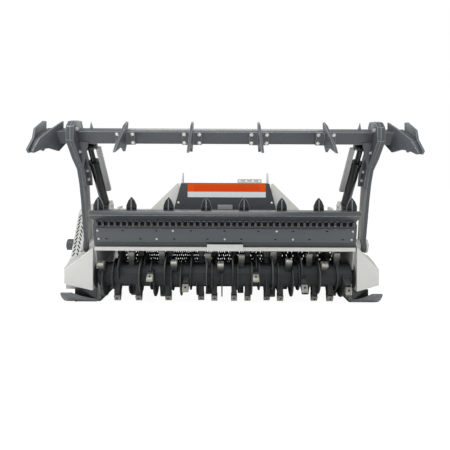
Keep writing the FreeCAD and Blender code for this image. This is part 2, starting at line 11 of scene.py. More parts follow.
import bmesh
import bpy
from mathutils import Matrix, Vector


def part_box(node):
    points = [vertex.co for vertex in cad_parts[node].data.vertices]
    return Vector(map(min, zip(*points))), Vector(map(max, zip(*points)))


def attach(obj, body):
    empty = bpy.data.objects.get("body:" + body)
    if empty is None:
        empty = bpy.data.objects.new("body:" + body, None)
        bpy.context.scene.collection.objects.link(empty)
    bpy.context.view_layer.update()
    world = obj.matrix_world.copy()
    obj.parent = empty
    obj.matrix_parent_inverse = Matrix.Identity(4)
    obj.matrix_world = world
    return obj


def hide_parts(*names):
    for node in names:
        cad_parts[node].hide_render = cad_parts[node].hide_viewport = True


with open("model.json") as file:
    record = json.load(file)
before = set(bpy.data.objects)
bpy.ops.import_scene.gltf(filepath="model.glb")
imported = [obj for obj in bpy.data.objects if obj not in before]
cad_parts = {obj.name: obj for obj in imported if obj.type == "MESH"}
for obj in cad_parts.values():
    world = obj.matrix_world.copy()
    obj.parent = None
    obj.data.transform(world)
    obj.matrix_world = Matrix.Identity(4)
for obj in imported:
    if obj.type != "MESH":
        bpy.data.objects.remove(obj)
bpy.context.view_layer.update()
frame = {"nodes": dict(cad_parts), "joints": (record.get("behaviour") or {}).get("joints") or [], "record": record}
joints = {joint["name"]: joint for joint in frame["joints"]}
AXIS = Vector(joints["rotor_spin"]["pos_m"])
print("nodes", len(frame["nodes"]), "rotor axis", tuple(round(v, 3) for v in AXIS))

# %% [markdown]
# Sizes in this file are millimetres measured as the maker would: x across, y back from the
# rotor's axis, z up from the ground. One helper turns them into the scene's metres.

# %% Places
MM = 0.001


def at(x, y, z):
    return Vector((x * MM, AXIS.y + y * MM, z * MM))


def turn(y, z, degrees):
    """A direction in the side view, turned about the x axis."""
    a = math.radians(degrees)
    return Vector((0, y * math.cos(a) - z * math.sin(a), y * math.sin(a) + z * math.cos(a)))


# %% [markdown]
# The photograph was taken with the lens level with the top of the housing and looking straight
# back, so upright edges stay upright. A level camera with a little vertical shift gives that
# picture; tilting the camera instead would make the push frame look too wide.

# %% Camera
EYE_X = -2.0
EYE_Z = 996.0
EYE_DISTANCE = 3089.0
FOCAL_PX = 390.0
PICTURE_PX = 450.0
HORIZON_PX = 177.0
ROLL_DEG = -0.25

camera = bpy.data.cameras.new("camera")
camera.sensor_width = 36.0
camera.lens = camera.sensor_width * FOCAL_PX / PICTURE_PX
camera.shift_y = -(PICTURE_PX / 2 - HORIZON_PX) / PICTURE_PX
camera.clip_end = 50.0
eye = bpy.data.objects.new("camera", camera)
eye.location = at(EYE_X, -EYE_DISTANCE, EYE_Z)
eye.rotation_euler = (math.radians(90), math.radians(ROLL_DEG), 0)
bpy.context.collection.objects.link(eye)
bpy.context.scene.camera = eye
print("lens", round(camera.lens, 2), "shift", round(camera.shift_y, 4))

# %% [markdown]
# Shader maths reads best as plain arithmetic. A small class wraps a socket, and each operator
# on it adds one Math node. Every other node comes from one method of the finish itself.


# %% A socket that can be added and multiplied
class Level:
    def __init__(self, finish, socket):
        self.finish = finish
        self.socket = socket

    def math(self, operation, *values, clamp=False):
        settings = {"operation": operation, "use_clamp": clamp}
        return self.finish.add("ShaderNodeMath", settings, dict(enumerate(values)))

    def __add__(self, other):
        return self.math("ADD", self, other)

    __radd__ = __add__

    def __sub__(self, other):
        return self.math("SUBTRACT", self, other)

    def __rsub__(self, other):
        return self.math("SUBTRACT", other, self)

    def __mul__(self, other):
        return self.math("MULTIPLY", self, other)

    __rmul__ = __mul__

    def __truediv__(self, other):
        return self.math("DIVIDE", self, other)

    def __pow__(self, other):
        return self.math("POWER", self, other)

    def clipped(self):
        return self.math("ADD", self, 0.0, clamp=True)

    def above(self, edge, softness):
        """0 below edge, 1 above it, with a soft step between."""
        return ((self - edge) / softness + 0.5).clipped()


# %% [markdown]
# A finish holds one material. Its methods add the nodes that every paint and metal here needs:
# a place, noise, a mix of two colours, a bump and the shader itself.


# %% A finish: one material and its nodes
class Finish:
    def __init__(self, name):
        self.material = bpy.data.materials.new(name)
        self.material.use_nodes = True
        self.tree = self.material.node_tree
        self.tree.nodes.clear()

    def add(self, kind, settings=None, inputs=None, output=0):
        node = self.tree.nodes.new(kind)
        for key, value in (settings or {}).items():
            setattr(node, key, value)
        for key, value in (inputs or {}).items():
            if isinstance(value, Level):
                self.tree.links.new(value.socket, node.inputs[key])
            else:
                node.inputs[key].default_value = value
        return Level(self, node.outputs[output]) if node.outputs else None

    def place(self):
        return self.add("ShaderNodeTexCoord", output="Object")

    def noise(self, scale, detail=3.0, rough=0.55, stretch=(1, 1, 1)):
        where = self.add("ShaderNodeMapping", inputs={"Vector": self.place(), "Scale": stretch})
        return self.add("ShaderNodeTexNoise", inputs={
            "Vector": where, "Scale": scale, "Detail": detail, "Roughness": rough})

    def mix(self, factor, a, b):
        settings = {"data_type": "RGBA", "clamp_factor": True}
        return self.add("ShaderNodeMix", settings, {0: factor, 6: a, 7: b}, output=2)

    def bump(self, height, strength, distance):
        return self.add("ShaderNodeBump", inputs={
            "Height": height, "Strength": strength, "Distance": distance})

    def shade(self, **inputs):
        names = {key.replace("_", " "): value for key, value in inputs.items()}
        shader = self.add("ShaderNodeBsdfPrincipled", inputs=names)
        self.add("ShaderNodeOutputMaterial", inputs={"Surface": shader})
        return self.material


def tone(red, green, blue):
    """A colour given as the eye reads it, 0 to 255, as the shader's own numbers."""
    linear = []
    for part in (red, green, blue):
        part = part / 255
        linear.append(part / 12.92 if part <= 0.04045 else ((part + 0.055) / 1.055) ** 2.4)
    return (*linear, 1.0)


# %% [markdown]
# Sprayed paint on welded plate is even from far away. Near by it has slow cloudy changes of
# tone, a fine orange peel in its gloss, and dust where chips fly. All three come from noise in
# the object's own space, so they stay the right size on every part.


# %% Paints
def paint(name, colour, dusty, rough, coat, cloud=0.10, dust=0.10):
    f = Finish(name)
    clouds = f.noise(2.3, 4.0)
    grit = f.noise(38.0, 5.0, 0.65)
    scuff = f.noise(16.0, 6.0, 0.7, (1.0, 0.25, 1.0)).above(0.66, 0.10)
    shadow = tuple(c * (1 - cloud) for c in colour[:3]) + (1.0,)
    body = f.mix(clouds, shadow, colour)
    settled = (grit * clouds * 4.0 * dust).clipped()
    body = f.mix(settled + scuff * (dust * 0.8), body, dusty)
    peel = f.noise(420.0, 2.0)
    ripple = f.bump(peel * 0.6 + grit * 0.4, 0.12, 0.0012)
    gloss = rough + grit * 0.10 + scuff * 0.12 - 0.05
    return f.shade(Base_Color=body, Roughness=gloss, Coat_Weight=coat, Coat_Roughness=0.18,
                   Normal=ripple)


dark_paint = paint("dark_paint", tone(67, 71, 75), tone(108, 110, 108), 0.42, 0.25)
apron_paint = paint("apron_paint", tone(49, 53, 57), tone(88, 90, 90), 0.42, 0.25)
wear_paint = paint("wear_paint", tone(74, 79, 84), tone(108, 110, 110), 0.45, 0.2)
skid_paint = paint("skid_paint", tone(94, 97, 100), tone(124, 124, 120), 0.45, 0.2)
light_paint = paint("light_paint", tone(205, 205, 201), tone(178, 174, 164), 0.34, 0.35, 0.05)
# Black paint; on the skid webs it is painted shade.
black_paint = paint("black_paint", tone(16, 18, 20), tone(62, 62, 60), 0.30, 0.5, 0.3)
casting = paint("casting", tone(70, 74, 78), tone(96, 94, 90), 0.6, 0.0, 0.2)
block_paint = paint("block_paint", tone(132, 134, 134), tone(150, 148, 142), 0.5, 0.1)
# The inside of the housing takes a dark paint that is painted shade, with real dust over it.
chamber_shade_paint = paint("chamber_shade_paint", tone(46, 49, 52), tone(78, 78, 74), 0.7, 0.0, 0.3, 0.2)
guard_paint = paint("guard_paint", tone(176, 177, 175), tone(150, 148, 142), 0.4, 0.2, 0.08)


def arm_finish(name, colour, painted_reflection_tone, low):
    """The arms' paint: below a height their broad flanks take a painted reflection of the white room."""
    f = Finish(name)
    rise = f.add("ShaderNodeSeparateXYZ", inputs={0: f.place()}, output="Z")
    normal = f.add("ShaderNodeNewGeometry", output="Normal")
    flank = f.add("ShaderNodeSeparateXYZ", inputs={0: normal}, output="X")
    # Painted reflection: faces turned to the sides, below the height, take the pale tone.
    painted_reflection_mask = (flank * flank).above(0.6, 0.3) * (1 - rise.above(low, 0.25))
    body = f.mix(f.noise(2.3, 4.0) * 0.3, colour, tone(60, 64, 68))
    body = f.mix(painted_reflection_mask, body, painted_reflection_tone)
    return f.shade(Base_Color=body, Roughness=0.38 + f.noise(38.0) * 0.1, Coat_Weight=0.3)


ARM_PAINTED_REFLECTION_TOP = 1000.0
arm_paint = arm_finish("arm_paint", tone(67, 71, 75), tone(138, 138, 135), ARM_PAINTED_REFLECTION_TOP * MM)


def paint_with_painted_shade(name, colour, shade_colour, high, back):
    """Paint that turns to a painted shade colour above a height and in front of a place."""
    f = Finish(name)
    rise = f.add("ShaderNodeSeparateXYZ", inputs={0: f.place()}, output="Z")
    depth = f.add("ShaderNodeSeparateXYZ", inputs={0: f.place()}, output="Y")
    front = rise.above(high, 0.002) * (1 - depth.above(back, 0.002))
    body = f.mix(front, colour, shade_colour)
    body = f.mix(f.noise(2.3, 4.0) * 0.08, body, tone(178, 174, 164))
    return f.shade(Base_Color=body, Roughness=0.4 + f.noise(38.0) * 0.1, Coat_Weight=0.3)


# Painted shade: the side plates' upper front corner is dark.
CHEEK_HIGH = 463.0
CHEEK_BACK = -92.0
side_paint = paint_with_painted_shade("side_paint", tone(205, 205, 201), tone(50, 54, 58), CHEEK_HIGH * MM,
                      AXIS.y + CHEEK_BACK * MM)
print("paints", 12)

# %% [markdown]
# Along a cut edge the paint is thin, so small chips show the metal under it.


# %% Worn paint for cut edges
def worn_edge(name, colour, metal, amount):
    f = Finish(name)
    chips = f.noise(55.0, 6.0, 0.7).above(amount, 0.12)
    body = f.mix(chips, colour, metal)
    return f.shade(Base_Color=body, Roughness=0.42 - chips * 0.08, Metallic=chips * 0.7)


dark_edge = worn_edge("dark_edge", tone(118, 123, 128), tone(170, 170, 166), 0.60)
light_edge = worn_edge("light_edge", tone(226, 226, 222), tone(168, 164, 156), 0.72)

# %% [markdown]
# Bare steel is told apart by how rough it is and by which way its marks run. Zinc bolts are
# pale and cloudy, chain is dull, and the input shaft shows the marks of turning.


# %% Metals
def steel(name, colour, dark, rough, stretch=(1, 1, 1), metallic=1.0):
    f = Finish(name)
    marks = f.noise(90.0, 4.0, 0.6, stretch)
    patches = f.noise(14.0, 4.0, 0.6)
    body = f.mix(marks * 0.5 + patches * 0.5, dark, colour)
    return f.shade(Base_Color=body, Roughness=rough + marks * 0.15, Metallic=metallic,
                   Normal=f.bump(marks, 0.10, 0.0006))


zinc = steel("zinc", tone(236, 236, 232), tone(190, 190, 184), 0.30, metallic=0.85)
chain_steel = steel("chain_steel", tone(120, 120, 118), tone(52, 52, 52), 0.38)
machined = steel("machined", tone(190, 190, 186), tone(150, 150, 146), 0.32, (6, 1, 6))

# %% [markdown]
# The drum, the holders and the teeth are dark forgings. Their colour follows the distance from
# the rotor's axis, so the tips are the brightest, where stones and wood grind them.


# %% Forged teeth and the drum
def forging(name, colour, tip, tip_radius, reach):
    f = Finish(name)
    where = f.add("ShaderNodeSeparateXYZ", inputs={0: f.place()}, output="Y")
    rise = f.add("ShaderNodeSeparateXYZ", inputs={0: f.place()}, output="Z")
    across = where - AXIS.y
    up = rise - AXIS.z
    radius = (across * across + up * up) ** 0.5
    scale = f.noise(60.0, 5.0, 0.7)
    bright = (radius + (scale - 0.5) * 0.03).above(tip_radius, reach)
    rough_skin = f.noise(30.0, 6.0, 0.7)
    body = f.mix(rough_skin, tuple(c * 0.7 for c in colour[:3]) + (1,), colour)
    body = f.mix(bright, body, tip)
    return f.shade(Base_Color=body, Roughness=0.55 - bright * 0.12 + rough_skin * 0.1,
                   Metallic=bright * 0.35 + 0.15, Normal=f.bump(rough_skin, 0.25, 0.002))


drum_paint = forging("drum_paint", tone(46, 48, 49), tone(72, 73, 72), 0.124, 0.01)
holder_paint = forging("holder_paint", tone(44, 46, 47), tone(92, 91, 87), 0.170, 0.03)
tooth_steel = forging("tooth_steel", tone(88, 87, 83), tone(160, 158, 150), 0.182, 0.04)

# %% [markdown]
# What is neither paint nor metal gets one even colour with a fine grain: the shaft's guard, the
# painted shade in slots, holes and hollows, and the label's inks.


# %% Plastic, painted shade in holes, and the label's inks
def plain(name, colour, rough, speck=0.15):
    f = Finish(name)
    grain = f.noise(140.0, 4.0, 0.6)
    body = f.mix(grain, tuple(c * (1 - speck) for c in colour[:3]) + (1,), colour)
    return f.shade(Base_Color=body, Roughness=rough + grain * 0.1, Specular_IOR_Level=0.2,
                   Normal=f.bump(grain, 0.1, 0.0005))


# Painted shade: a near black that fills slots, holes and the comb's hollows.
painted_hole_shade = plain("painted_hole_shade", tone(26, 28, 30), 0.8, 0.3)
plastic = plain("plastic", tone(20, 21, 23), 0.5, 0.2)
orange_ink = plain("orange_ink", tone(228, 78, 2), 0.55, 0.05)
orange_deep = plain("orange_deep", tone(216, 70, 2), 0.55, 0.05)
pale_ink = plain("pale_ink", tone(214, 221, 222), 0.3, 0.04)

# %% [markdown]
# Each plate of the model keeps its shape, but laser-cut plate never has a knife edge. A copy of
# the plate gets a small rounded edge, and the round carries its own material, because that is
# where paint goes thin and bright first.


# %% Rounding the edges of a plate
def settle(obj):
    """Applies an object's modifiers to its mesh."""
    graph = bpy.context.evaluated_depsgraph_get()
    mesh = bpy.data.meshes.new_from_object(obj.evaluated_get(graph))
    obj.modifiers.clear()
    obj.data = mesh


def bevelled(obj, width, segments=2):
    """Rounds the sharp edges; the round takes the object's second material."""
    bevel = obj.modifiers.new("edge", "BEVEL")
    bevel.width = width * MM
    bevel.segments = segments
    bevel.limit_method = "ANGLE"
    bevel.angle_limit = math.radians(28)
    bevel.material = 1
    bevel.use_clamp_overlap = True
    settle(obj)
    obj.data.set_sharp_from_angle(angle=math.radians(32))


def rounded(node, skin, edge, width=2.5):
    """Puts a bevelled copy in a plate's place, on the same moving body."""
    source = frame["nodes"][node]
    mesh = bpy.data.meshes.new(node + "_skin")
    shape = bmesh.new()
    shape.from_mesh(source.data)
    bmesh.ops.remove_doubles(shape, verts=shape.verts, dist=0.00002)
    bmesh.ops.dissolve_limit(shape, angle_limit=math.radians(0.6), verts=shape.verts,
                             edges=shape.edges)
    shape.to_mesh(mesh)
    shape.free()
    mesh.materials.clear()
    mesh.materials.append(skin)
    mesh.materials.append(edge)
    for face in mesh.polygons:
        face.material_index = 0
        face.use_smooth = True
    obj = bpy.data.objects.new(node + "_skin", mesh)
    bpy.context.collection.objects.link(obj)
    bevelled(obj, width)
    for body, members in frame["record"]["behaviour"]["bodies"].items():
        if node in members:
            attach(obj, body)
    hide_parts(node)


PLATES = {
    "dark": (dark_paint, dark_edge, ["arm_doublers", "push_bar", "bar_fins"]),
    "skids": (skid_paint, dark_edge, ["skid_left", "skid_right"]),
    "arms": (arm_paint, dark_edge, ["push_arm_left", "push_arm_right"]),
    "apron": (apron_paint, dark_edge, ["front_apron", "apron_comb", "gearbox_cover"]),
    "wear": (wear_paint, dark_edge, ["apron_wear_plate"]),
    "sides": (side_paint, side_paint, ["side_plate_left", "side_plate_right"]),
    # On the skid webs the black is painted shade for the deep shadow inside the skids.
    "black": (black_paint, dark_edge, ["apron_spikes", "skid_webs"]),
    "light": (light_paint, light_edge, ["front_beam", "wing_left", "wing_right", "belt_casing",
                                        "headstock_plates", "headstock_gussets",
                                        "cylinder_lugs", "pivot_brackets", "hose_bracket"]),
    "block": (block_paint, dark_edge, ["cover_block"]),
    "rotor": (holder_paint, dark_edge, ["tooth_holders"]),
    "teeth": (tooth_steel, tooth_steel, ["rotor_teeth"]),
}
for skin, edge, members in PLATES.values():
    for node in members:
        rounded(node, skin, edge)
print("rounded", sum(len(row[2]) for row in PLATES.values()), "plates")

# %% [markdown]
# Turned parts and rolled sheets already have their real edges, so they keep the model's mesh
# and only change material.

# %% Finishes for the rest of the model
KEPT = {
    "rotor_drum": drum_paint, "rotor_hood": chamber_shade_paint, "housing_deck": light_paint,
    "rear_cross_tube": chamber_shade_paint, "rotor_bearings": casting, "belt_casing_cap": dark_paint,
    "cross_shaft_tube": light_paint, "top_link_bracket": light_paint, "lower_link_pins": zinc,
    "gearbox": casting, "input_shaft": machined, "input_guard": plastic, "chain_rail": chamber_shade_paint,
    "cylinder_barrel_left": black_paint, "cylinder_barrel_right": black_paint,
    "cylinder_rod_left": black_paint, "cylinder_rod_right": black_paint,
}
for node, material in KEPT.items():
    mesh = frame["nodes"][node].data
    mesh.materials.clear()
    mesh.materials.append(material)
    mesh.shade_smooth()
    mesh.set_sharp_from_angle(angle=math.radians(32))
print("kept", len(KEPT))


# %% [markdown]
# Small repeated things are built once as a list of rings or a profile, stamped at every place,
# and joined into one mesh for each body, so a hundred bolts cost one object.


# %% Stamping a shape many times
def stamp(name, body, material, shape_of, places):
    """Joins one shape per place. shape_of(bm, place) adds to the mesh and returns nothing."""
    bm = bmesh.new()
    for place in places:
        shape_of(bm, place)
    bmesh.ops.recalc_face_normals(bm, faces=bm.faces)
    mesh = bpy.data.meshes.new(name)
    bm.to_mesh(mesh)
    bm.free()
    mesh.materials.append(material)
    obj = bpy.data.objects.new(name, mesh)
    bpy.context.collection.objects.link(obj)
    for face in mesh.polygons:
        face.use_smooth = True
    mesh.set_sharp_from_angle(angle=math.radians(35))
    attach(obj, body)
    return obj


def lathe(bm, base, axis, rings, sides=6):
    """Rings of (radius, height) stood up along axis from base; a radius of 0 closes it."""
    axis = axis.normalized()
    side = axis.orthogonal().normalized()
    other = axis.cross(side)
    loops = []
    for radius, height in rings:
        centre = base + axis * (height * MM)
        if radius == 0:
            loops.append([bm.verts.new(centre)])
            continue
        loop = []
        for i in range(sides):
            a = math.tau * i / sides
            spoke = side * math.cos(a) + other * math.sin(a)
            loop.append(bm.verts.new(centre + spoke * radius * MM))
        loops.append(loop)
    for low, high in zip(loops, loops[1:]):
        for i in range(sides):
            j = (i + 1) % sides
            if len(low) == 1:
                bm.faces.new((low[0], high[j], high[i]))
            elif len(high) == 1:
                bm.faces.new((low[i], low[j], high[0]))
            else:
                bm.faces.new((low[i], low[j], high[j], high[i]))


def prism(bm, foot, head):
    """Two loops of as many corners each, closed at both ends and joined by walls."""
    bm.faces.new(foot[::-1])
    bm.faces.new(head)
    for i in range(len(foot)):
        j = (i + 1) % len(foot)
        bm.faces.new((foot[i], foot[j], head[j], head[i]))


# %% [markdown]
# A bolt is a washer and a hexagon head with its corners turned off. The dome of a button head
# is the same idea with more sides.


# %% Bolts
def hex_bolt(bm, place):
    """A washer and a head; size is half the head's width over its corners."""
    base, axis, size = place
    washer_r = size * 1.25
    washer_t = size * 0.22
    top = washer_t + size * 0.85
    lathe(bm, base, axis, [(0, 0), (washer_r, 0), (washer_r, washer_t), (0, washer_t)], 16)
    lathe(bm, base, axis, [(size, washer_t), (size, top - 0.15 * size), (size * 0.84, top),
                           (0, top)], 6)


def button(bm, place):
    """A low domed head; size is its radius."""
    base, axis, size = place
    lathe(bm, base, axis, [(0, 0), (size, 0), (size * 0.95, size * 0.3), (size * 0.55, size * 0.55),
                           (0, size * 0.6)], 12)


BAR_Y = -267.0
BAR_Z = 1290.0
BAR_TILT = 23.0
BAR_HALF = 45.0
FIN_BASE_T = 14.0
FINS = (-712.0, -239.0, 239.0, 712.0)
FIN_BOLT_X = 53.5
FIN_BOLT_UP = 30.5
FIN_BOLT_SIZE = 10.5
bar_face = BAR_HALF + FIN_BASE_T
bar_forward = turn(-1, 0, BAR_TILT)
bar_up = turn(0, 1, BAR_TILT)
fin_bolts = []
for x in FINS:
    for dx in (-FIN_BOLT_X, FIN_BOLT_X):
        for up in (-FIN_BOLT_UP, FIN_BOLT_UP):
            spot = at(x + dx, BAR_Y, BAR_Z) + (bar_forward * bar_face + bar_up * up) * MM
            fin_bolts.append((spot, bar_forward, FIN_BOLT_SIZE))
stamp("fin_bolts", "push_frame", zinc, hex_bolt, fin_bolts)
print("fin bolts", len(fin_bolts))

# %% [markdown]
# The apron's wear plate leans back a little. Its bolts and slots are placed by width and height,
# and the lean gives the depth.

# %% Bolts and slots in the wear plate
WEAR_LOW = (-138.0, 504.0)
WEAR_HIGH = (-164.0, 606.0)
wear_out = Vector((0, WEAR_LOW[1] - WEAR_HIGH[1], WEAR_HIGH[0] - WEAR_LOW[0])).normalized()


def on_wear(x, z):
    """The point of the wear plate's face at a width and a height."""
    share = (z - WEAR_LOW[1]) / (WEAR_HIGH[1] - WEAR_LOW[1])
    return at(x, WEAR_LOW[0] + (WEAR_HIGH[0] - WEAR_LOW[0]) * share, z)


BOLT_ROWS = ((590.0, (-958, -392, 388, 960)), (526.0, (-954, -516, -2, 513, 955)))
SLOT_ROWS = ((590.0, (-770, -516, -256, -4, 251, 512, 767)),
             (526.0, (-895, -638, -384, -132, 123, 380, 638, 889)))
APRON_BOLT_SIZE = 8.5
SLOT_LENGTH = 9.0
SLOT_R = 4.2
SLOT_PROUD = 1.2
apron_bolts = [(on_wear(x, z), wear_out, APRON_BOLT_SIZE) for z, row in BOLT_ROWS for x in row]
stamp("apron_bolts", "housing", zinc, button, apron_bolts)


def dark_slot(bm, place):
    """A level slot with round ends, as a thin dark plate set into the face that paints its shade."""
    base, axis = place
    up = axis.cross(Vector((1, 0, 0))).normalized()
    points = []
    for end in (1, -1):
        for i in range(7):
            a = math.radians(-90 + 30 * i)
            reach = SLOT_LENGTH / 2 + SLOT_R * math.cos(a)
            points.append(Vector((1, 0, 0)) * (end * reach) + up * (end * SLOT_R * math.sin(a)))
    head = [bm.verts.new(base + (point + axis * SLOT_PROUD) * MM) for point in points]
    foot = [bm.verts.new(base + (point - axis * SLOT_PROUD) * MM) for point in points]
    prism(bm, foot, head)


apron_slots = [(on_wear(x, z), wear_out) for z, row in SLOT_ROWS for x in row]
stamp("apron_slots", "housing", painted_hole_shade, dark_slot, apron_slots)
print("apron bolts", len(apron_bolts), "slots", len(apron_slots))

# %% [markdown]
# Between the comb's ribs lie hollows, and thin dark plates set in them paint their shade. Each
# of the spikes on the apron has a lighter rib down its front.

# %% Painted shade between the comb's ribs
POCKET_COUNT = 42
PITCH = 45.8
RIB_W = 14.0
POCKET_GAP = 2.0
POCKET_LOW = (-160.5, 628.0)
POCKET_HIGH = (-162.5, 656.0)


def block(bm, place):
    """A box given by its low and high corners in the maker's millimetres."""
    low, high = place
    outline = ((low[0], low[1]), (high[0], low[1]), (high[0], high[1]), (low[0], high[1]))
    foot = [bm.verts.new(at(x, y, low[2])) for x, y in outline]
    head = [bm.verts.new(at(x, y, high[2])) for x, y in outline]
    prism(bm, foot, head)


pockets = []
for i in range(POCKET_COUNT):
    left = (i - POCKET_COUNT // 2) * PITCH + RIB_W / 2 + POCKET_GAP
    right = left + PITCH - RIB_W - 2 * POCKET_GAP
    pockets.append(((left, POCKET_HIGH[0], POCKET_LOW[1]), (right, POCKET_LOW[0], POCKET_HIGH[1])))
stamp("comb_painted_shade", "housing", painted_hole_shade, block, pockets)

# %% Light ribs on the spikes
SPIKES = (-950.0, -702.0, -424.0, -142.0, 142.0, 424.0, 702.0, 950.0)
SPIKE_RIB_HALF = 4.0
SPIKE_RIB_Y = (-177.0, -170.0)
SPIKE_RIB_Z = (746.0, 828.0)
ribs = []
for x in SPIKES:
    low = (x - SPIKE_RIB_HALF, SPIKE_RIB_Y[0], SPIKE_RIB_Z[0])
    high = (x + SPIKE_RIB_HALF, SPIKE_RIB_Y[1], SPIKE_RIB_Z[1])
    ribs.append((low, high))
stamp("spike_ribs", "housing", dark_edge, block, ribs)
print("pockets", len(pockets), "spike ribs", len(ribs))

# %% [markdown]
# Each claw is a box of plate. Two hooked plates stand apart, a folded web closes the gap between
# them, and a stub of the bar runs through both.


# %% Claws
def slab(bm, place):
    """A flat plate: its corners in order, and the way and distance that it is thick."""
    corners, offset = place
    near = [bm.verts.new(at(*corner)) for corner in corners]
    far = [bm.verts.new(at(*(c + d for c, d in zip(corner, offset)))) for corner in corners]
    prism(bm, near, far)


CLAW_BACK = ((-300, 1176), (-235, 1240), (-262, 1340), (-262, 1396))
CLAW_INNER = CLAW_BACK + ((-378, 1316), (-458, 1254), (-496, 1194), (-514, 1166), (-500, 1150),
                          (-440, 1180), (-380, 1190))
CLAW_OUTER = CLAW_BACK + ((-300, 1392), (-430, 1322), (-453, 1253), (-522, 1182), (-532, 1170),
                          (-506, 1149), (-440, 1186), (-380, 1190))
CLAW_FOLD = ((-262, 1342), (-366, 1298), (-446, 1240), (-486, 1184), (-502, 1160))
CLAW_OUT = 1310.0
CLAW_T = 14.0
CLAW_REAR_X = 1172.0
CLAW_REAR_Y = -262.0
CLAW_SPLAY = 0.4
WEB_LAP = 4.0
WEB_T = 8.0
STUB_X = 1110.0


def claw_x(y):
    """Where the splayed inner plate stands, in from the side of the machine."""
    return CLAW_REAR_X + (CLAW_REAR_Y - y) * CLAW_SPLAY


def claw_pieces(side):
    """The slabs of one claw: outer plate, inner plate, the folds of the web and the stub."""
    outer = [(side * (CLAW_OUT - CLAW_T), y, z) for y, z in CLAW_OUTER]
    inner = [(side * claw_x(y), y, z) for y, z in CLAW_INNER]
    pieces = [(outer, (side * CLAW_T, 0, 0)), (inner, (side * CLAW_T, 0, 0))]
    for (y0, z0), (y1, z1) in zip(CLAW_FOLD, CLAW_FOLD[1:]):
        rear_x = side * (claw_x(y0) + WEB_LAP)
        front_x = side * (claw_x(y1) + WEB_LAP)
        outer_x = side * (CLAW_OUT - WEB_LAP)
        fold = [(rear_x, y0, z0), (outer_x, y0, z0), (outer_x, y1, z1), (front_x, y1, z1)]
        pieces.append((fold, (0, WEB_T, -WEB_T)))
    square = []
    for back, up in ((-1, -1), (1, -1), (1, 1), (-1, 1)):
        corner = turn(back * BAR_HALF, up * BAR_HALF, BAR_TILT)
        square.append((side * STUB_X, BAR_Y + corner.y, BAR_Z + corner.z))
    pieces.append((square, (side * (CLAW_OUT - CLAW_T - STUB_X), 0, 0)))
    return pieces


for name, side in (("left", -1), ("right", 1)):
    claw = stamp("claw_skin_" + name, "push_frame", wear_paint, slab, claw_pieces(side))
    claw.data.materials.append(dark_edge)
    bevelled(claw, 2.0)
    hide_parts("claw_" + name)
print("claws", 2)

# %% [markdown]
# Behind the bar's ends stand two small pointed plates. Under it, a plain triangle of plate
# braces each arm.

# %% End spikes and braces
END_SPIKE = ((966, -222, 1328), (1000, -222, 1328), (990, -222, 1399))
END_SPIKE_T = 10.0
BRACE = ((977, -296, 1246), (1054, -296, 1246), (1054, -188, 1052))
BRACE_OFFSET = (0, -8, -4)
spikes = []
braces = []
for side in (-1, 1):
    spikes.append(([(side * x, y, z) for x, y, z in END_SPIKE], (0, END_SPIKE_T, 0)))
    braces.append(([(side * x, y, z) for x, y, z in BRACE], BRACE_OFFSET))
stamp("bar_end_spikes", "push_frame", dark_edge, slab, spikes)
brace = stamp("plain_braces", "push_frame", dark_paint, slab, braces)
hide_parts("knee_braces")
print("end spikes", len(spikes), "braces", len(braces))

# %% [markdown]
# Each cylinder has a guard, folded from sheet to an open channel. It rides on the rod and runs
# along the stroke.

# %% Cylinder guards
GUARD_W = 34.0
GUARD_LIFT = 26.0
GUARD_LIP = 10.0
GUARD_LIP_DROP = 5.0
GUARD_FOOT_CUT = 60.0
GUARD_HEAD_CUT = 10.0


def channel(bm, place):
    """One section of (x in metres, height in millimetres), drawn from foot to head."""
    section, foot, head, lift = place
    ends = []
    for end in (foot, head):
        loop = []
        for x, height in section:
            rise = lift * ((height - GUARD_LIFT / 2) * MM)
            loop.append(bm.verts.new(Vector((x, 0, 0)) + end + rise))
        ends.append(loop)
    prism(bm, *ends)


for name, side in (("left", -1), ("right", 1)):
    low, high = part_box("cylinder_guard_" + name)
    stroke = Vector(joints["cylinder_" + name + "_stroke"]["axis"])
    lift = Vector((0, -stroke.z, stroke.y))
    foot = Vector((0, high.y, low.z)) + stroke * (GUARD_FOOT_CUT * MM)
    head = Vector((0, low.y, high.z)) - stroke * (GUARD_HEAD_CUT * MM)
    outer = side * max(abs(low.x), abs(high.x))
    inner = outer - side * GUARD_W * MM
    lip = inner + side * GUARD_LIP * MM
    lip_foot = inner + side * (GUARD_LIP - 3) * MM
    drop = GUARD_LIFT - GUARD_LIP_DROP
    section = ((outer, 0.0), (outer, GUARD_LIFT), (lip, GUARD_LIFT), (lip_foot, drop),
               (inner, drop), (inner, 0.0))
    place = (section, foot, head, lift)
    guard = stamp("guard_channel_" + name, "rod_" + name, guard_paint, channel, [place])
    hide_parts("cylinder_guard_" + name)
print("guards", 2)

# %% [markdown]
# Bolt heads show on both faces of each arm and at the ends of the cover. The pivot's bolts are
# on the right side only, because the belt guard stands in front of them on the left.

# %% Bolts on the arms, the cover and the drive side
ARM_IN_X = 1055.0
ARM_OUT_X = 1110.0
ARM_IN_BOLTS = ((-330, 1330, 13), (-262, 1176, 13), (-110, 1040, 12), (-78, 975, 12))
ARM_OUT_BOLTS = ((-330, 1330, 13), (-262, 1176, 13), (-110, 1040, 13))
COVER_Y = 505.0
COVER_BOLT_SIZE = 11.0
PIVOT_X = 1133.0
PIVOT_BOLTS = ((46, 452, 20), (150, 350, 9), (150, 405, 9))
arm_bolts = []
for side in (-1, 1):
    for y, z, size in ARM_IN_BOLTS:
        arm_bolts.append((at(side * ARM_IN_X, y, z), Vector((-side, 0, 0)), size))
    for y, z, size in ARM_OUT_BOLTS:
        arm_bolts.append((at(side * ARM_OUT_X, y, z), Vector((side, 0, 0)), size))
stamp("arm_bolts", "push_frame", zinc, hex_bolt, arm_bolts)
front = Vector((0, -1, 0))
cover_bolts = []
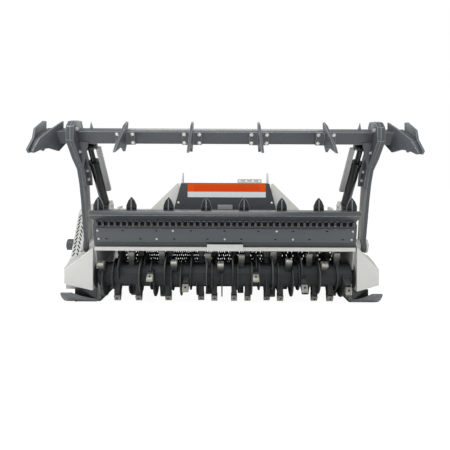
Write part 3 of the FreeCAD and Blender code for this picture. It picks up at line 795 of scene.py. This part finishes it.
for x in (-430, 430):
    for z in (758, 640):
        cover_bolts.append((at(x, COVER_Y, z), front, COVER_BOLT_SIZE))
stamp("cover_bolts", "housing", zinc, button, cover_bolts)
right = Vector((1, 0, 0))
pivot_bolts = [(at(PIVOT_X, y, z), right, size) for y, z, size in PIVOT_BOLTS]
stamp("pivot_bolts", "housing", zinc, hex_bolt, pivot_bolts)
print("arm, cover and pivot bolts", len(arm_bolts) + len(cover_bolts) + len(pivot_bolts))

# %% [markdown]
# The curtain at the back is real chain: each link is a bent wire, and every second link is
# turned a quarter, so light passes between them as it does in the photograph.

# %% Chain links
WIRE_R = 5.0
WIRE_SIDES = 4
LINK_HALF = 22.0
LINK_BEND = 12.0
LINK_TURNS = 8
LINK_SLACK = 0.55
LINK_STEP = (2 * LINK_HALF + LINK_BEND - WIRE_R) * 0.62
STRANDS = 41
STRAND_GAP = 48.0
CHAIN_TOP_GAP = 20.0
CHAIN_Y = 460.0
ROW_GAP = 16.0
CHAIN_ROWS = 3
chain_low, chain_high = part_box("chain_curtain")


def wire_link(bm, place):
    """A long ring of wire; a quarter link stands across the picture's depth."""
    centre, quarter = place
    loops = []
    for i in range(LINK_TURNS):
        a = math.tau * (i + 0.5) / LINK_TURNS
        straight = LINK_HALF if math.sin(a) > 0 else -LINK_HALF
        rise = math.sin(a) * LINK_BEND + straight * LINK_SLACK
        sway = math.cos(a) * LINK_BEND
        middle = Vector((sway, 0, rise))
        out = Vector((math.cos(a), 0, math.sin(a)))
        loop = []
        for k in range(WIRE_SIDES):
            b = math.tau * k / WIRE_SIDES
            spot = middle + (out * math.cos(b) + Vector((0, 1, 0)) * math.sin(b)) * WIRE_R
            if quarter:
                spot = Vector((spot.y, spot.x, spot.z))
            loop.append(bm.verts.new(centre + spot * MM))
        loops.append(loop)
    for i in range(LINK_TURNS):
        low = loops[i]
        high = loops[(i + 1) % LINK_TURNS]
        for k in range(WIRE_SIDES):
            m = (k + 1) % WIRE_SIDES
            bm.faces.new((low[k], low[m], high[m], high[k]))


def chain_places():
    """Rows of strands, each row a third of a gap to the right of the one before it."""
    top = chain_high.z / MM - CHAIN_TOP_GAP
    count = int((chain_high.z - chain_low.z) / MM / LINK_STEP)
    places = []
    for row in range(CHAIN_ROWS):
        for i in range(STRANDS - (row > 0)):
            x = (i - (STRANDS - 1) / 2 + row / CHAIN_ROWS) * STRAND_GAP
            for k in range(count):
                z = top - k * LINK_STEP
                places.append((at(x, CHAIN_Y + ROW_GAP * row, z), (k + i) % 2 == 1))
    return places


links = chain_places()
curtain = stamp("chain_links", "housing", chain_steel, wire_link, links)
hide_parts("chain_curtain")
print("chain links", len(links), "lowest", round(min(v.co.z for v in curtain.data.vertices), 3))

# %% [markdown]
# Each tooth is held by one screw, sunk in the middle of its cutting face. The table gives the
# place and the angle of every pair of teeth, as the part's own table does.

# %% Screw holes in the teeth
TEETH = ((-935, 45), (-830, -60), (-725, 80), (-668, -65), (-560, 12), (-490, 85), (-440, -70),
         (-385, 50), (-295, -13), (-185, -75), (-130, 75), (-80, -60), (-32, 45), (72, -60),
         (128, 70), (178, -68), (232, 12), (330, -75), (378, 85), (430, -62), (485, 55),
         (598, -13), (650, 75), (700, -72), (752, 45), (815, -62), (866, 80), (930, -20))
FACE_LOW = (-200.0, -34.0)
FACE_HIGH = (-176.0, 6.0)
HOLE_R = 8.0
HOLE_PROUD = 0.6
face_out = (FACE_LOW[1] - FACE_HIGH[1], FACE_HIGH[0] - FACE_LOW[0])
face_mid = ((FACE_LOW[0] + FACE_HIGH[0]) / 2, (FACE_LOW[1] + FACE_HIGH[1]) / 2)
tooth_holes = []
for x, angle in TEETH:
    for half in (0, 180):
        spin = -(angle + half)
        middle = turn(face_mid[0], face_mid[1], spin)
        tooth_holes.append((at(x, middle.y, AXIS.z / MM + middle.z), turn(*face_out, spin)))


# Each hole is a thin dark disc on the tooth's face, which paints the hole's shade.
def screw_hole(bm, place):
    base, axis = place
    lathe(bm, base, axis, [(0, 0), (HOLE_R, 0), (HOLE_R, HOLE_PROUD), (0, HOLE_PROUD)], 12)


stamp("tooth_holes", "rotor", painted_hole_shade, screw_hole, tooth_holes)
print("tooth holes", len(tooth_holes))

# %% [markdown]
# Between the teeth stand thin crescents of plate that limit how deep a tooth can bite. Each one
# grows out of the drum and stays under the tips.

# %% Bite limiters
LIMITERS = (-925, -812, -737, -645, -622, -540, -455, -410, -335, -258, -215, -138, -68, -22, 60,
            118, 205, 242, 318, 362, 448, 515, 584, 635, 716, 798, 905)
LIMITER_T = 9.0
LIMITER_LOW = 90.0
LIMITER_HIGH = 172.0
LIMITER_TOE = 6.0
LIMITER_SWEEP = 200.0
LIMITER_STEPS = 18
LIMITER_TURN = 137


def crescent(bm, place):
    """A thin plate whose outer edge swells and sinks again as it goes round the drum."""
    x, start = place
    steps = LIMITER_STEPS
    toe = LIMITER_LOW + LIMITER_TOE
    angles = [math.radians(start + LIMITER_SWEEP * i / steps) for i in range(steps + 1)]
    sides = []
    for dx in (-LIMITER_T / 2, LIMITER_T / 2):
        loop = []
        for i, a in enumerate(angles):
            swell = math.sin(math.pi * i / steps) ** 0.6
            loop.append((toe + (LIMITER_HIGH - toe) * swell, a))
        loop += [(LIMITER_LOW, a) for a in reversed(angles)]
        points = [(-radius * math.cos(a), AXIS.z / MM + radius * math.sin(a)) for radius, a in loop]
        sides.append([bm.verts.new(at(x + dx, y, z)) for y, z in points])
    near, far = sides
    count = len(near)
    for i in range(count):
        j = (i + 1) % count
        bm.faces.new((near[i], near[j], far[j], far[i]))
    for i in range(steps):
        j = count - 1 - i
        bm.faces.new((near[i], near[j], near[j - 1], near[i + 1]))
        bm.faces.new((far[i], far[i + 1], far[j - 1], far[j]))


limiter_places = [(x, (i * LIMITER_TURN) % 360 - 150) for i, x in enumerate(LIMITERS)]
stamp("bite_limiters", "rotor", holder_paint, crescent, limiter_places)
print("bite limiters", len(limiter_places))

# %% [markdown]
# The label on the cover is two bare bands of colour, an orange one over a pale one. A slightly
# deeper orange fills the middle of the upper band.

# %% The label's bands
LABEL_LEFT = -346.0
LABEL_RIGHT = 374.0
LABEL_SUNK = 0.1
BANDS = (("label_orange", orange_ink, 931.0, 859.0, 0.0, 1.2),
         ("label_orange_line", orange_deep, 921.0, 871.0, 60.0, 1.6),
         ("label_pale", pale_ink, 859.0, 809.0, 0.0, 1.2))


def band(bm, place):
    left, right, high, low, depth = place
    corners = [(left, low), (right, low), (right, high), (left, high)]
    face = [bm.verts.new(at(x, COVER_Y - depth, z)) for x, z in corners]
    back = [bm.verts.new(at(x, COVER_Y - LABEL_SUNK, z)) for x, z in corners]
    prism(bm, back, face)


for name, ink, high, low, inset, depth in BANDS:
    place = (LABEL_LEFT + inset, LABEL_RIGHT - inset, high, low, depth)
    stamp(name, "housing", ink, band, [place])
print("label bands", len(BANDS))

# %% [markdown]
# The belt guard's front slope has rows of slanted slots that let air to the belts.

# %% Slots in the belt guard
GUARD_LOW = (64.0, 338.0)
GUARD_HIGH = (239.0, 692.0)
VENT_HALF = 13.0
VENT_R = 4.5
VENT_PROUD = 0.8
VENT_ROWS = 11
VENT_COLUMNS = ((-1228, 60), (-1196, -60), (-1164, 60))
slope = Vector((0, GUARD_HIGH[0] - GUARD_LOW[0], GUARD_HIGH[1] - GUARD_LOW[1])).normalized()
slope_out = Vector((0, -slope.z, slope.y))


def slanted_slot(bm, place):
    """A slot with round ends that leans along the slope, as a thin dark plate of painted shade set into it."""
    base, lean = place
    along = (Vector((1, 0, 0)) * math.cos(lean) + slope * math.sin(lean)).normalized()
    side = slope_out.cross(along).normalized()
    points = []
    for end in (1, -1):
        for i in range(5):
            a = math.radians(-90 + 45 * i)
            reach = VENT_HALF + VENT_R * math.cos(a)
            points.append(along * (end * reach) + side * (end * VENT_R * math.sin(a)))
    head = [bm.verts.new(base + (point + slope_out * VENT_PROUD) * MM) for point in points]
    foot = [bm.verts.new(base + (point - slope_out * VENT_PROUD) * MM) for point in points]
    prism(bm, foot, head)


guard_slots = []
for row in range(VENT_ROWS):
    share = (row + 0.8) / (VENT_ROWS + 1)
    y = GUARD_LOW[0] + (GUARD_HIGH[0] - GUARD_LOW[0]) * share
    z = GUARD_LOW[1] + (GUARD_HIGH[1] - GUARD_LOW[1]) * share
    for x, lean in VENT_COLUMNS:
        guard_slots.append((at(x, y, z), math.radians(lean)))
stamp("guard_slots", "housing", painted_hole_shade, slanted_slot, guard_slots)
print("guard slots", len(guard_slots))

# %% [markdown]
# Studio light: one broad lamp above and in front, a weaker one on each side and behind, and a
# soft white world. The camera sees a plain white backdrop and a floor that glows almost white.


# %% Lights and floor
def lamp(name, place, target, size, power):
    data = bpy.data.lights.new(name, "AREA")
    data.shape = "RECTANGLE"
    data.size, data.size_y = size
    data.energy = power
    obj = bpy.data.objects.new(name, data)
    obj.location = place
    obj.rotation_euler = (Vector(target) - Vector(place)).to_track_quat("-Z", "Y").to_euler()
    bpy.context.collection.objects.link(obj)


lamp("key", (-0.6, -2.2, 4.2), (0, 0, 0.6), (4.5, 2.6), 152)
lamp("left", (-4.2, -2.4, 2.0), (0, 0, 0.6), (2.2, 2.4), 50)
lamp("right", (4.2, -2.0, 2.2), (0, 0, 0.6), (2.2, 2.4), 44)
lamp("back", (0, 3.6, 3.4), (0, 0.2, 0.5), (4.0, 2.0), 48)

world = bpy.data.worlds.new("studio")
world.use_nodes = True
bpy.context.scene.world = world
sky = world.node_tree
sky.nodes.clear()
ray = sky.nodes.new("ShaderNodeLightPath")
room = sky.nodes.new("ShaderNodeBackground")
room.inputs["Color"].default_value = (0.95, 0.97, 1.0, 1.0)
room.inputs["Strength"].default_value = 0.46
backdrop = sky.nodes.new("ShaderNodeBackground")
backdrop.inputs["Color"].default_value = (1, 1, 1, 1)
backdrop.inputs["Strength"].default_value = 1.0
choose = sky.nodes.new("ShaderNodeMixShader")
shown = sky.nodes.new("ShaderNodeOutputWorld")
sky.links.new(ray.outputs["Is Camera Ray"], choose.inputs[0])
sky.links.new(room.outputs[0], choose.inputs[1])
sky.links.new(backdrop.outputs[0], choose.inputs[2])
sky.links.new(choose.outputs[0], shown.inputs["Surface"])

f = Finish("floor")
diffuse = f.add("ShaderNodeBsdfDiffuse", inputs={"Color": (0.9, 0.9, 0.9, 1)})
glow = f.add("ShaderNodeEmission", inputs={"Color": (1, 1, 1, 1), "Strength": 1.2})
camera_ray = f.add("ShaderNodeLightPath", output="Is Camera Ray")
cover = f.add("ShaderNodeMixShader", inputs={0: camera_ray * 0.8, 1: diffuse, 2: glow})
f.add("ShaderNodeOutputMaterial", inputs={"Surface": cover})
floor_mesh = bpy.data.meshes.new("floor")
edge = 30.0
floor_mesh.from_pydata([(-edge, -edge, 0), (edge, -edge, 0), (edge, edge, 0), (-edge, edge, 0)],
                       [], [(0, 1, 2, 3)])
floor_mesh.materials.append(f.material)
floor = bpy.data.objects.new("floor", floor_mesh)
bpy.context.collection.objects.link(floor)
bpy.context.scene.view_settings.view_transform = "Standard"
